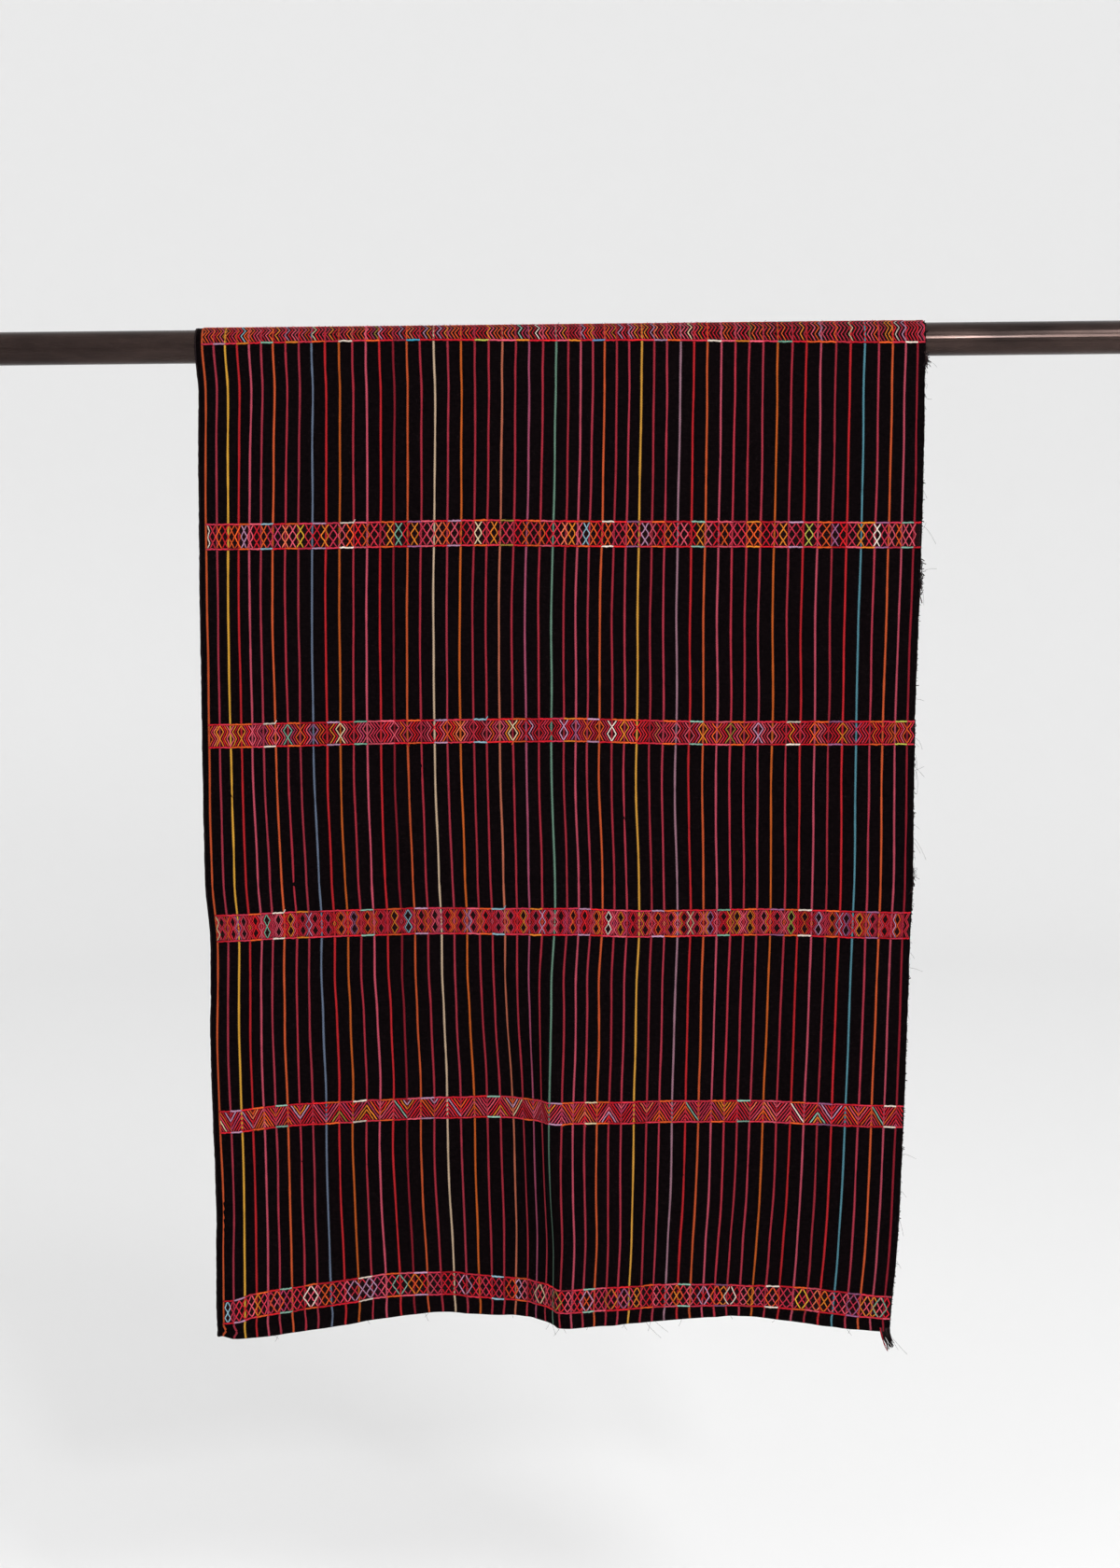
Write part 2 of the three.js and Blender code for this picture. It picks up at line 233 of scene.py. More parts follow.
def unit(vectors):
    return vectors / np.maximum(np.linalg.norm(vectors, axis=-1, keepdims=True), 1e-9)


grid = np.array([cloth_row(GRID_ACROSS, path) for path in GRID_PATH])
normal_grid = unit(np.cross(np.gradient(grid, GRID_PATH, axis=0), np.gradient(grid, GRID_ACROSS, axis=1)))


def on_cloth(across, path):
    """The middle surface's points and outward normals at any places, in millimetres."""
    column = np.interp(across, GRID_ACROSS, np.arange(len(GRID_ACROSS)))
    row = np.interp(path, GRID_PATH, np.arange(len(GRID_PATH)))
    i = np.clip(row.astype(int), 0, len(GRID_PATH) - 2)
    j = np.clip(column.astype(int), 0, len(GRID_ACROSS) - 2)
    u = (row - i)[..., None]
    v = (column - j)[..., None]

    def blend(values):
        upper = values[i, j] * (1 - v) + values[i, j + 1] * v
        lower = values[i + 1, j] * (1 - v) + values[i + 1, j + 1] * v
        return upper * (1 - u) + lower * u

    return blend(grid), unit(blend(normal_grid))


# Colours, named by their screen values from 0 to 255
def srgb(red, green, blue):
    values = np.array([red, green, blue]) / 255
    return np.where(values <= 0.04045, values / 12.92, ((values + 0.055) / 1.055) ** 2.4)


def colour_set(**colours):
    return {name: srgb(*levels) for name, levels in colours.items()}


COLOURS = colour_set(
    crimson=(190, 22, 38), rose=(200, 44, 62), deep_pink=(190, 46, 70), pink=(212, 80, 98),
    magenta=(180, 56, 92), red=(218, 30, 38), dark_red=(150, 22, 40), salmon=(228, 112, 78),
    orange=(218, 84, 34), amber=(214, 120, 36), yellow=(224, 176, 48), lime=(172, 168, 70),
    cream=(214, 188, 150), white=(224, 206, 192), mint=(136, 178, 160), teal=(112, 160, 138),
    turquoise=(64, 172, 204), light_blue=(138, 174, 188), blue=(104, 142, 186),
    lilac=(184, 136, 166), purple=(150, 86, 124), olive=(150, 120, 48), black=(26, 17, 19),
    # The last two colours here are painted dark red shade for the gaps between the bands' yarns
    brown=(66, 48, 48), shadow_red=(30, 2, 5), deep_red=(44, 2, 6),
)

# The warp yarns are duller than the embroidery yarns.
WARP_COLOURS = colour_set(
    crimson=(142, 36, 49), rose=(142, 41, 55), deep_pink=(146, 44, 59), pink=(158, 62, 78),
    magenta=(136, 62, 85), red=(162, 29, 35), dark_red=(116, 21, 34), salmon=(160, 88, 66),
    orange=(168, 70, 36), amber=(160, 74, 26), mustard=(178, 128, 50), yellow=(190, 140, 50),
    cream=(158, 136, 114), teal=(86, 115, 100), turquoise=(74, 121, 134), blue=(84, 95, 114),
    lilac=(136, 99, 112),
)

STRIPE_COLOURS = """
    orange deep_pink yellow red pink deep_pink orange crimson rose blue
    red amber crimson pink red dark_red orange crimson cream rose
    amber crimson crimson salmon crimson magenta crimson teal crimson pink
    rose orange crimson rose mustard crimson rose lilac red orange
    pink crimson crimson rose amber crimson red pink crimson red
    turquoise deep_pink orange pink dark_red
""".split()
STRIPE_WIDTH = 2.7

# The stripes' pitch changes slowly: numbers of stripes, and the pitch there
FIRST_STRIPE = 7.2
STRIPE_PITCH = (
    (0, 5, 10, 26, 29, 34, 38, 44, 48, 51, 54),
    (11.5, 12, 13.4, 13.6, 12, 12.7, 13.8, 14.4, 14.7, 13.9, 12),
)
stripe_steps = np.interp(np.arange(len(STRIPE_COLOURS) - 1) + 0.5, *STRIPE_PITCH)
STRIPES = FIRST_STRIPE + np.concatenate([[0], np.cumsum(stripe_steps)])
INTERVALS = len(STRIPES) - 1

# Each usual colour's share of the yarns
USUAL = {
    "crimson": 0.24, "rose": 0.2, "deep_pink": 0.16, "pink": 0.16, "red": 0.05, "magenta": 0.04,
    "orange": 0.08, "amber": 0.03, "lilac": 0.02, "salmon": 0.02,
}
BORDER_USUAL = {
    "crimson": 0.34, "rose": 0.28, "deep_pink": 0.18, "pink": 0.1, "red": 0.05, "orange": 0.04,
    "amber": 0.01,
}


def pick_colours(count, accents=None, shares=USUAL):
    """Random colours by their shares, with the accents' own colours at their places."""
    colours = list(rng.choice(list(shares), size=count, p=list(shares.values())))
    for place, colour in (accents or {}).items():
        colours[place] = colour
    return colours


# Yarn sections, as shares of the half width and half height, round from the right
ROUND_YARN = [(1, 0.5), (0, 1), (-1, 0.5), (-1, -0.5), (0, -1), (1, -0.5)]
THIN_YARN = [(1, 0), (0, 1), (-1, 0), (0, -1)]
BOX_WEFT = [(1, 1), (-1, 1), (-1, -1), (1, -1)]
FLAT_STRIPE = [(1, 0.74), (0.5, 1), (-0.5, 1), (-1, 0.74), (-1, -0.74), (-0.5, -1), (0.5, -1), (1, -0.74)]

# How much one yarn's shade differs from the next one's
YARN_SPREAD = 0.16
WARP_SPREAD = 0.08
TWIST_STARTS = 10

scene = bpy.context.scene


def add_object(name, data):
    made = bpy.data.objects.new(name, data)
    scene.collection.objects.link(made)
    return made


def mesh_object(name, verts, faces, material):
    """A smooth mesh in metres from points in millimetres."""
    mesh = bpy.data.meshes.new(name)
    mesh.from_pydata(np.asarray(verts) * MM, [], faces)
    mesh.shade_smooth()
    mesh.materials.append(material)
    return add_object(name, mesh)


class Yarns:
    """Collects closed tubes of yarn for one mesh. Each point keeps its yarn's colour, and its place
    on the yarn: millimetres along it, and from -1 to 1 across it."""

    def __init__(self):
        self.verts = []
        self.quads = []
        self.colours = []
        self.places = []
        self.count = 0

    def add(self, centre, upward, colours, width, height, section=ROUND_YARN, uneven=0.07, palette=COLOURS):
        """Tubes along centre, an array of yarns by points by XYZ, with the section's height along
        upward, one width and height or one for each point, and one colour for each yarn."""
        centre = np.asarray(centre, float)
        yarns, points = centre.shape[:2]
        sides = len(section)
        section = np.array(section)
        forward = unit(np.gradient(centre, axis=1))
        sideways = unit(np.cross(np.broadcast_to(upward, centre.shape), forward))
        up = np.cross(forward, sideways)
        half_width = np.broadcast_to(np.asarray(width) / 2, (yarns, points))[..., None, None]
        half_height = np.broadcast_to(np.asarray(height) / 2, (yarns, points))[..., None, None]
        ring = centre[:, :, None] + half_width * sideways[:, :, None] * section[:, :1]
        ring = ring + half_height * up[:, :, None] * section[:, 1:]
        start = self.count + np.arange(yarns)[:, None, None] * points * sides
        row = np.arange(points - 1)[None, :, None] * sides
        corner = np.arange(sides)
        a = start + row + corner
        b = start + row + (corner + 1) % sides
        walls = np.stack([a, b, b + sides, a + sides], -1).reshape(-1, 4)
        caps = []
        for first, turn in ((0, 1), ((points - 1) * sides, -1)):
            for k in range(1, sides - 2, 2):
                corners = np.array([0, k, k + 1, k + 2])[::-turn]
                caps.append(start[:, 0] + first + corners)
        self.quads += [walls] + caps
        self.verts.append(ring.reshape(-1, 3))
        shade = 1 + uneven * rng.standard_normal((yarns, points, 1, 1))
        spread = WARP_SPREAD if palette is WARP_COLOURS else YARN_SPREAD
        shade = shade * (1 + spread * rng.standard_normal((yarns, 1, 1, 1)))
        tint = np.array([palette[c] for c in colours])[:, None, None] * np.clip(shade, 0.5, 1.5)
        self.colours.append(np.broadcast_to(tint, ring.shape).reshape(-1, 3))
        steps = np.linalg.norm(np.diff(centre, axis=1), axis=-1)
        along = np.concatenate([np.zeros((yarns, 1)), np.cumsum(steps, axis=1)], 1)
        along = along + TWIST_STARTS * rng.random((yarns, 1))
        place = np.zeros(ring.shape)
        place[..., 0] = along[:, :, None]
        place[..., 1] = section[:, 0]
        self.places.append(place.reshape(-1, 3))
        self.count += yarns * points * sides

    def lay(self, across, path, lift, colours, width, height, **options):
        """Tubes laid on the cloth's outer face, with their middles at that lift from it."""
        points, normals = on_cloth(across, path)
        lift = np.broadcast_to(np.asarray(lift, float), points.shape[:-1])[..., None]
        self.add(points + normals * (FACE + lift), normals, colours, width, height, **options)

    def make(self, name, material):
        made = mesh_object(name, np.concatenate(self.verts), np.concatenate(self.quads), material)
        with_alpha = np.c_[np.concatenate(self.colours), np.ones(self.count)]
        colour = made.data.attributes.new("yarn_colour", "FLOAT_COLOR", "POINT")
        colour.data.foreach_set("color", with_alpha.astype(np.float32).ravel())
        place = made.data.attributes.new("yarn_place", "FLOAT_VECTOR", "POINT")
        place.data.foreach_set("vector", np.concatenate(self.places).astype(np.float32).ravel())
        return made


# Materials
class Look:
    """A material and its nodes. A node's input takes a value or another node's output."""

    def __init__(self, name):
        self.material = bpy.data.materials.new(name)
        self.material.use_nodes = True
        self.tree = self.material.node_tree
        self.shader = self.tree.nodes["Principled BSDF"]

    def put(self, node, inputs):
        for name, value in inputs.items():
            if isinstance(value, bpy.types.NodeSocket):
                self.tree.links.new(value, node.inputs[name])
            else:
                node.inputs[name].default_value = value

    def node(self, kind, inputs=None, **settings):
        made = self.tree.nodes.new(kind)
        for name, value in settings.items():
            setattr(made, name, value)
        self.put(made, inputs or {})
        return made

    def place(self):
        return self.node("ShaderNodeTexCoord").outputs["Object"]

    def noise(self, scale, detail=3, roughness=0.6, stretch=None):
        """Noise in the object's own coordinates, with stretch as a scale on each axis."""
        place = self.place()
        if stretch is not None:
            place = self.node("ShaderNodeMapping", {"Vector": place, "Scale": stretch}).outputs["Vector"]
        inputs = {"Vector": place, "Scale": scale, "Detail": detail, "Roughness": roughness}
        return self.node("ShaderNodeTexNoise", inputs).outputs["Fac"]

    def remap(self, value, low, high, from_low=0.3, from_high=0.7):
        inputs = {"Value": value, "From Min": from_low, "From Max": from_high, "To Min": low, "To Max": high}
        return self.node("ShaderNodeMapRange", inputs).outputs["Result"]

    def bump(self, height, strength, distance, below=None):
        inputs = {"Height": height, "Strength": strength, "Distance": distance}
        if below is not None:
            inputs["Normal"] = below
        return self.node("ShaderNodeBump", inputs).outputs["Normal"]

    def ridges(self, pitch, direction):
        """Even ridges at a pitch in metres along one axis."""
        waves_to_scale = 2 * math.pi / 20
        inputs = {"Vector": self.place(), "Scale": waves_to_scale / pitch, "Distortion": 2}
        inputs.update({"Detail": 1, "Detail Scale": 0.5})
        return self.node("ShaderNodeTexWave", inputs, bands_direction=direction).outputs["Fac"]

    def calculate(self, operation, first, second=0):
        inputs = {0: first, 1: second}
        return self.node("ShaderNodeMath", inputs, operation=operation).outputs["Value"]

    def ramp(self, value, *stops):
        """Colours by value, from one stop's place and colour to the other's."""
        made = self.node("ShaderNodeValToRGB", {"Fac": value})
        for k, (place, levels) in enumerate(stops):
            made.color_ramp.elements[k].position = place
            made.color_ramp.elements[k].color = (*srgb(*levels), 1)
        return made.outputs["Color"]


def yarn_material(name, ply, lean, groove_shade_depth, roughness, sheen, toothed=False):
    """Cotton yarn in the mesh's own colours. One turn of its twist is ply millimetres long, and lean slants
    it.
    Its colour carries painted shade in the twist's grooves and down its sides, and a painted highlight on
    the twist's crests and along its middle. A toothed yarn's edges come and go between the crossing black
    yarns."""
    look = Look(name)
    colour = look.node("ShaderNodeAttribute", attribute_name="yarn_colour").outputs["Color"]
    place = look.node("ShaderNodeAttribute", attribute_name="yarn_place").outputs["Vector"]
    parts = look.node("ShaderNodeSeparateXYZ", {"Vector": place}).outputs
    along = look.calculate("MULTIPLY", parts["X"], 2 * math.pi / ply)
    slant = look.calculate("MULTIPLY", parts["Y"], lean)
    drift = look.remap(look.noise(90), -1.2, 1.2)
    beads = look.calculate("SINE", look.calculate("ADD", look.calculate("ADD", along, slant), drift))
    fibres = look.noise(1700, detail=2)
    # Painted shade in the twist's grooves and a painted highlight on its crests, from the same wave as the
    # bumps
    level = look.remap(beads, 1 - groove_shade_depth, 1.08, -1, 0.6)
    level = look.calculate("MULTIPLY", level, look.remap(fibres, 0.82, 1.12))
    # Painted shade down a round yarn's sides and a painted highlight along its middle; on a toothed yarn,
    # the black teeth of the crossing yarns at its edges
    edge = look.calculate("ABSOLUTE", parts["Y"])
    if toothed:
        edge = look.calculate("ADD", edge, look.calculate("MULTIPLY", beads, 0.3))
        painted_side_shade_and_teeth = look.remap(edge, 1, 0.04, 0.45, 0.95)
    else:
        painted_side_shade_and_teeth = look.remap(edge, 1.08, 0.28, 0.15, 1)
    level = look.calculate("MULTIPLY", level, painted_side_shade_and_teeth)
    grey = look.node("ShaderNodeCombineColor", {"Red": level, "Green": level, "Blue": level})
    mixed = {"Factor": 1, "A": colour, "B": grey.outputs["Color"]}
    shade = look.node("ShaderNodeMix", mixed, data_type="RGBA", blend_type="MULTIPLY")
    fine = look.bump(fibres, 0.35, 0.0003)
    look.put(look.shader, {
        "Base Color": shade.outputs["Result"], "Roughness": roughness, "Specular IOR Level": 0.06,
        "Sheen Weight": sheen, "Sheen Roughness": 0.5,
        "Normal": look.bump(beads, 0.6, 0.00025, below=fine),
    })
    return look.material


def ground_material():
    """Black handwoven cotton: warp ridges crossed by fine weft, with slight wear."""
    look = Look("black_cotton")
    wear = look.noise(320, detail=5, roughness=0.75)
    warp = look.bump(look.ridges(0.0011, "X"), 0.35, 0.0003)
    look.put(look.shader, {
        "Base Color": look.ramp(wear, (0.35, (5, 3, 4)), (0.85, (15, 9, 10))),
        "Roughness": look.remap(look.noise(60), 0.84, 0.98), "Specular IOR Level": 0.01,
        "Sheen Weight": 0.004, "Sheen Roughness": 0.4,
        "Normal": look.bump(look.ridges(0.0016, "Z"), 0.35, 0.0003, below=warp),
    })
    return look.material


def rod_material():
    """Dark worn steel: fine lengthwise drawing marks, faint stains and rubbed places."""
    look = Look("dark_steel")
    stains = look.noise(30, detail=4, stretch=(0.35, 1, 1))
    marks = look.noise(500, stretch=(0.03, 1, 1))
    look.put(look.shader, {
        "Base Color": look.ramp(stains, (0.3, (38, 29, 27)), (0.75, (66, 52, 48))), "Metallic": 0.85,
        "Roughness": look.remap(marks, 0.18, 0.32), "Normal": look.bump(marks, 0.12, 0.0003),
    })
    return look.material


# The fourth number is how deep the painted shade in the twist's grooves goes
EMBROIDERY = yarn_material("embroidery_yarn", 1.3, 1.1, 0.42, 0.8, 0.03)
STRIPE_YARN = yarn_material("stripe_yarn", 1.5, math.pi / 2, 0.25, 0.9, 0.02, toothed=True)
LOOSE_YARN = yarn_material("frayed_yarn", 1.1, 1.2, 0.35, 0.9, 0.02)
GROUND = ground_material()
ROD_METAL = rod_material()


def keep(piece):
    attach(piece, "root")
    return piece


# The cloth's ground
SHEET_COLUMN = 5.5
FOLD_COLUMN = 2.75
FOLD_FROM, FOLD_TO = 275, 430
SHEET_ROW = 9
BACK_SHEET_ROW = 13
WRAP_ROW = 2.3
HEM_TURN = 13
HEM_START = FRONT_HEM - 24


def spaced(*stops):
    """Places from the first stop to the last one, with a spacing between each two stops."""
    places = []
    for start, spacing, end in zip(stops[:-2:2], stops[1::2], stops[2::2]):
        places.append(np.linspace(start, end, int(round((end - start) / spacing)) + 1)[:-1])
    return np.concatenate(places + [stops[-1:]])


SHEET_COLUMNS = spaced(0, SHEET_COLUMN, FOLD_FROM, FOLD_COLUMN, FOLD_TO, SHEET_COLUMN, CLOTH_WIDTH)


def make_sheet():
    across = SHEET_COLUMNS
    path = spaced(BACK_HEM, 3, BACK_HEM + 18, BACK_SHEET_ROW, -WRAP_REACH, WRAP_ROW, WRAP_REACH,
                  SHEET_ROW, HEM_START, 2, FRONT_HEM)
    rows, columns = len(path), len(across)
    points, normals = on_cloth(across[None, :], path[:, None])
    to_hem = np.minimum(path - BACK_HEM, FRONT_HEM - path)[:, None, None]
    turned = np.clip((HEM_TURN - to_hem) / 3, 0, 1)
    rounding = 1 - 0.6 * np.clip(1 - to_hem / 2, 0, 1)
    outer = points + normals * FACE * rounding
    inner = points - normals * (FACE + turned) * rounding
    ids = np.arange(rows * columns).reshape(rows, columns)
    faces = np.stack([ids[:-1, :-1], ids[1:, :-1], ids[1:, 1:], ids[:-1, 1:]], -1).reshape(-1, 4)
    back = faces[:, ::-1] + rows * columns
    rim = np.concatenate([ids[:-1, 0], ids[-1, :-1], ids[:0:-1, -1], ids[0, :0:-1]])
    ahead = np.roll(rim, -1)
    edge = np.stack([ahead, rim, rim + rows * columns, ahead + rows * columns], -1)
    verts = np.concatenate([outer.reshape(-1, 3), inner.reshape(-1, 3)])
    return mesh_object("skirt_cloth", verts, np.concatenate([faces, back, edge]), GROUND)


cloth = keep(make_sheet())
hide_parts("cloth")


# The warp stripes: each is a flat ridge that shows on both faces of the cloth
STRIPE_ROW = 8.5
BACK_STRIPE_ROW = 14
STRIPE_RISE = 0.2


def stripe_wander(stripe, path):
    """One stripe's small sideways wander."""
    phase = 1.7 * stripe
    near_hem = np.clip((path - (FRONT_HEM - 32)) / 16, 0, 1)
    hem_sway = near_hem * np.sin(path / 8 + 4 * phase)
    return 0.22 * np.sin(path / 46 + phase) + 0.12 * np.sin(path / 17 + 2.3 * phase) + 0.7 * hem_sway


def make_stripes(name, path):
    stripes = Yarns()
    across = np.array([place + stripe_wander(k, path) for k, place in enumerate(STRIPES)])
    points, normals = on_cloth(across, np.broadcast_to(path, across.shape))
    width = STRIPE_WIDTH * (1 + 0.05 * rng.standard_normal(across.shape))
    thickness = 2 * (FACE + STRIPE_RISE)
    stripes.add(points, normals, STRIPE_COLOURS, width, thickness, section=FLAT_STRIPE, uneven=0.05,
                palette=WARP_COLOURS)
    return stripes.make(name, STRIPE_YARN)


front_path = spaced(0, WRAP_ROW, WRAP_REACH, STRIPE_ROW, HEM_START, 2.5, FRONT_HEM - 0.4)
back_path = spaced(BACK_HEM + 0.4, BACK_STRIPE_ROW, -WRAP_REACH, WRAP_ROW, 0)
front_stripes = keep(make_stripes("warp_stripes_front", front_path))
back_stripes = keep(make_stripes("warp_stripes_back", back_path))

# The embroidered bands
YARN_WIDTH = 1.35
YARN_HEIGHT = 0.75
YARN_LIFT = 0.3
YARN_END_LIFT = 0.05
BORDER_WIDTH = 1.9
BORDER_HEIGHT = 1.1
BORDER_LIFT = 0.36
BORDER_END_LIFT = 0.1
BORDER_OVERLAP = 0.5
BORDER_POINTS = 8
BAND_START = STRIPES[0]
BAND_END = CLOTH_WIDTH - 1.2
WOBBLE = 0.16
# The layer of weft strips under each band's yarns, coloured with painted shade for the gaps between them
WEFT_PITCH = 3.2
WEFT_LIFT = -0.06
WEFT_THICKNESS = 0.3

# The lowest band isn't quite parallel to the hem: places across, and how far down it strays
LATTICE_DRIFT = (
    (0, 13, 25, 36, 60, 97, 123, 163, 190, 217, 270, 300, 352, 500, 547, 576, 605, 634, 663, 700, 731),
    (3, 2.6, 0.4, -3.4, -4.7, -5.2, -4, -3.1, -1.2, 1.6, -0.4, 1.2, 0.9, 0, 1.6, 2.6, 0.6, -1.6, -1.4,
     -0.2, 1.6),
)


def zigzag(values, t, turns=None):
    """Straight lines between values at even steps of t, or at the places in turns."""
    return np.interp(t, np.linspace(0, 1, len(values)) if turns is None else turns, values)


def spots(text):
    """Turns "orange 3 7, white 11" into each place's colour, in the places' order."""
    found = {}
    for group in text.split(",") if text else ():
        colour, *places = group.split()
        found.update({float(place) if "." in place else int(place): colour for place in places})
    return dict(sorted(found.items()))


class Band:
    """One embroidered band. Its patterns give yarns by where they are across the cloth and
    how far down the band, from 0 at the top border to 1 at the bottom one."""

    def __init__(self, middle, height, accents, borders, crosses="", edge="crimson",
                 ground="shadow_red", drift=None):
        self.yarns = Yarns()
        self.top = middle - (height - BORDER_WIDTH) / 2
        self.height = height - BORDER_WIDTH
        self.accents = spots(accents)
        self.crosses = spots(crosses)
        self.edge_colour = edge
        self.drift_table = drift
        self.ground_drawn(ground)
        self.borders_drawn(spots(borders))

    def drift(self, across):
        """How far the band strays down the cloth from its straight course."""
        return np.interp(across, *self.drift_table) if self.drift_table else 0.0

    def run(self, across, t, colours, lift=YARN_LIFT, width=YARN_WIDTH):
        across = np.asarray(across, float)
        across = across + WOBBLE * rng.standard_normal(across.shape)
        across = np.clip(across, BAND_START - 0.8, BAND_END)
        t = np.broadcast_to(t, across.shape)
        inset = BORDER_WIDTH / 2
        path = self.top + inset + (self.height - 2 * inset) * t + self.drift(across)
        lifts = np.full(across.shape, lift)
        lifts[:, [0, -1]] = YARN_END_LIFT
        section = THIN_YARN if self.top < 0 else ROUND_YARN
        self.yarns.lay(across, path, lifts, colours, width, YARN_HEIGHT, section=section)

    def ground_drawn(self, colour):
        """Dark red weft strips between the borders, whose colour is painted shade in the pattern's gaps."""
        across = np.concatenate([[BAND_START], SHEET_COLUMNS[2:-1], [BAND_END]])
        count = int(round(self.height / WEFT_PITCH))
        width = self.height / count
        path = self.top + width * (np.arange(count)[:, None] + 0.5) + self.drift(across) + 0 * across
        across = np.broadcast_to(across, path.shape)
        self.yarns.lay(across, path, WEFT_LIFT, [colour] * count, width, WEFT_THICKNESS,
                       section=BOX_WEFT, uneven=0.12)

    def borders_drawn(self, accents):
        """A stout yarn along the top and the bottom, with a new colour at each stripe."""
        edges = np.concatenate([STRIPES, [BAND_END]])
        self.border_colours = pick_colours(len(edges) - 1, accents, BORDER_USUAL)
        starts = edges[:-1, None] - BORDER_OVERLAP
        across = starts + (edges[1:, None] + BORDER_OVERLAP - starts) * np.linspace(0, 1, BORDER_POINTS)
        for end in (0, 1):
            path = self.top + self.height * end + self.drift(across)
            path = path + WOBBLE * rng.standard_normal(across.shape)
            width = BORDER_WIDTH * (1 + 0.12 * rng.standard_normal(across.shape))
            lift = np.full(across.shape, BORDER_LIFT)
            lift[:, [0, -1]] = BORDER_END_LIFT
            self.yarns.lay(across, path, lift, self.border_colours, width, BORDER_HEIGHT)

    def tails_drawn(self, tails):
        """Short cut ends of border yarns, which lean away from the band."""
        steps = np.linspace(0, 1, 5)
        thick = BORDER_WIDTH * np.linspace(0.8, 0.5, 5)
        for interval, border, lean in tails:
            corner = STRIPES[interval + 1] if lean > 0 else STRIPES[interval]
            end = 0 if border == "top" else 1
            away = 2 * end - 1
            across = corner + lean * (steps * 2.2 - 0.8)
            path = self.top + self.height * end + away * 3.4 * steps ** 1.5 + self.drift(across)
            self.yarns.lay([across], [path], 0.5, [self.border_colours[interval]], thick, 0.7 * thick)

    def edge_drawn(self, t, inset, swing, lift=YARN_LIFT):
        """The zigzag yarn at the band's left end."""
        across = BAND_START + inset + swing * zigzag((-1, 1, -1, 1, -1), t)
        self.run([across], t, [self.edge_colour], lift=lift)


def repeat_places(numbers, stripes):
    """Middles of a pattern's repeats. It is counted in warp yarns, so its places are given in
    stripes: the repeats with those numbers are at those stripes."""
    edges = np.append(STRIPES, BAND_END)
    last = INTERVALS + (BAND_END - STRIPES[-1]) / (STRIPES[-1] - STRIPES[-2])
    counts = np.interp(np.arange(numbers[-1] + 1), numbers, stripes)
    return np.interp(counts, np.append(np.arange(len(STRIPES)), last), edges)


def nearest_repeat(accents, middles):
    """Turns the accents' places into the numbers of the nearest repeats."""
    return {int(np.argmin(np.abs(middles - place))): colour for place, colour in accents.items()}


def wavy_band(band):
    """Close parallel zigzags, each yarn in its own colour."""
    t = np.linspace(0, 1, 9)
    middles = repeat_places((0, 212), (0.18, 54.66))
    colours = pick_colours(len(middles), nearest_repeat(band.accents, middles))
    swing = 2.1 * zigzag((1, -1, 1, -1, 1), t)
    band.run(middles[:, None] + swing, t, colours, lift=YARN_LIFT + 0.15, width=1.25)


def crossed_band(band):
    """Pairs of yarns that cross twice, side by side."""
    t = np.array([0, 0.08, 0.16, 0.24, 0.31, 0.38, 0.46, 0.54, 0.62, 0.69, 0.76, 0.84, 0.92, 1])
    middles = repeat_places((0, 13, 50, 84, 90), (0.6, 8.14, 30.31, 50.58, 53.9))
    colours = pick_colours(len(middles), nearest_repeat(band.accents, middles))
    shape = zigzag((1, 0, -1, -1, 0, 1), t, (0, 0.24, 0.46, 0.54, 0.76, 1))
    swing_share = 0.42
    swing = np.gradient(middles)[:, None] * swing_share * shape
    band.run(middles[:, None] + swing, t, colours, lift=YARN_LIFT + 0.1)
    band.run(middles[:, None] - swing, t, colours)
    band.edge_drawn(t, 2.6, 1.1)


def looped_band(band):
    """Twisted ribbons on the stripes, with loops at the top and the bottom in turn."""
    t = np.array([0, 0.08, 0.15, 0.22, 0.3, 0.41, 0.52, 0.64, 0.73, 0.82, 0.91, 1])
    loop_top = zigzag((0, 1, 0, 1), t, (0, 0.3, 0.64, 1))
    ribbons = pick_colours(INTERVALS + 1, band.accents)
    fillers = pick_colours(2 * INTERVALS)
    swing_share = 0.35
    for k in range(INTERVALS):
        left, right = STRIPES[k], STRIPES[k + 1]
        width = right - left
        swing = swing_share * width
        shape = swing * (loop_top if k % 2 == 1 else 1 - loop_top)
        gap = (width - swing) / 3
        across = left + gap * np.arange(4)[:, None] + shape
        colours = [ribbons[k], *fillers[2 * k:2 * k + 2], ribbons[k + 1]]
        band.run(across, t, colours, width=1.25)
    shape = swing * (loop_top if INTERVALS % 2 == 1 else 1 - loop_top)
    band.run(STRIPES[-1] + gap * np.array([[0], [1]]) + shape, t, [ribbons[INTERVALS], "rose"])


def diamond_band(band):
    """Two diamonds between each two stripes, crosses on the stripes, a zigzag between them, and a
    small diamond inside each pair of crosses."""
    t = np.linspace(0, 1, 13)
    inside = np.linspace(0.4, 0.6, 5)
    thin, thinnest = 0.92, 0.65
    shape = zigzag((0, 1, 0, 1, 0), t)
    diamonds = pick_colours(INTERVALS, band.accents)
    crosses = pick_colours(INTERVALS + 1, band.crosses)
    side = np.array([-1, 1] * 3)[:, None]
    out = np.array([0, 0, 0.5, 0.5, 1, 1])[:, None]
    for k in range(INTERVALS):
        middle = (STRIPES[k] + STRIPES[k + 1]) / 2
        step = (STRIPES[k + 1] - STRIPES[k]) / 4
        colours = [diamonds[k]] * 2 + pick_colours(2) + [crosses[k], crosses[k + 1]]
        band.run(middle + side * step * (out + shape), t, colours, width=thin)
        small = STRIPES[k + 1] + np.array([[-1], [1]]) * 0.4 * step * (1 - np.abs(inside - 0.5) / 0.1)
        band.run(small, inside, pick_colours(1) * 2, width=thinnest)
    side = np.array([0, 0.5])[:, None]
    band.run(STRIPES[-1] + step * (1.5 - shape + side), t, [crosses[INTERVALS], "rose"], width=thin)
    band.edge_drawn(t, 1.6, 1.5, lift=YARN_LIFT + 0.15)


